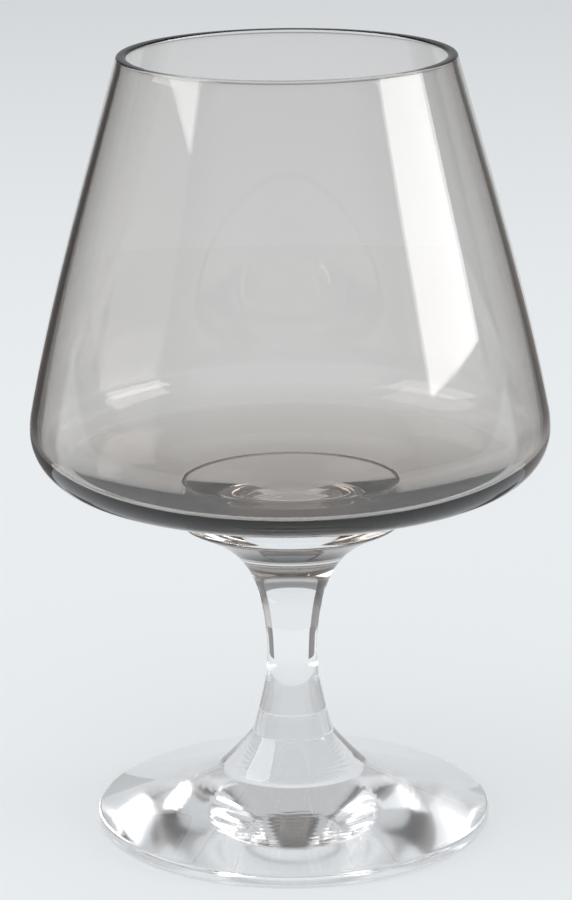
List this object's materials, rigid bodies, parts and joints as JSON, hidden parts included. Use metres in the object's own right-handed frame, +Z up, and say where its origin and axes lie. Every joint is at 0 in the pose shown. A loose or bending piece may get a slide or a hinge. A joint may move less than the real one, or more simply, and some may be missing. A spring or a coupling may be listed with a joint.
{
  "type": "brandy snifter",
  "caption": "Short-stemmed brandy snifter: a smoke-tinted bowl that tapers to its rim, on a clear waisted stem with a flared lip and a clear conical foot.",
  "frame": {"origin": "on the table, at the centre of the foot", "axes": "+Z up along the glass's axis, from the foot to the rim; X and Y are alike, because the glass is round"},
  "size_m": [0.0764, 0.0764, 0.116],
  "materials": {
    "smoke_glass": "polished blown glass, tinted smoke grey through its whole thickness",
    "clear_glass": "polished clear glass"
  },
  "bodies": {
    "root": {"bowl": "smoke_glass", "stem": "clear_glass", "foot": "clear_glass"}
  },
  "joints": []
}
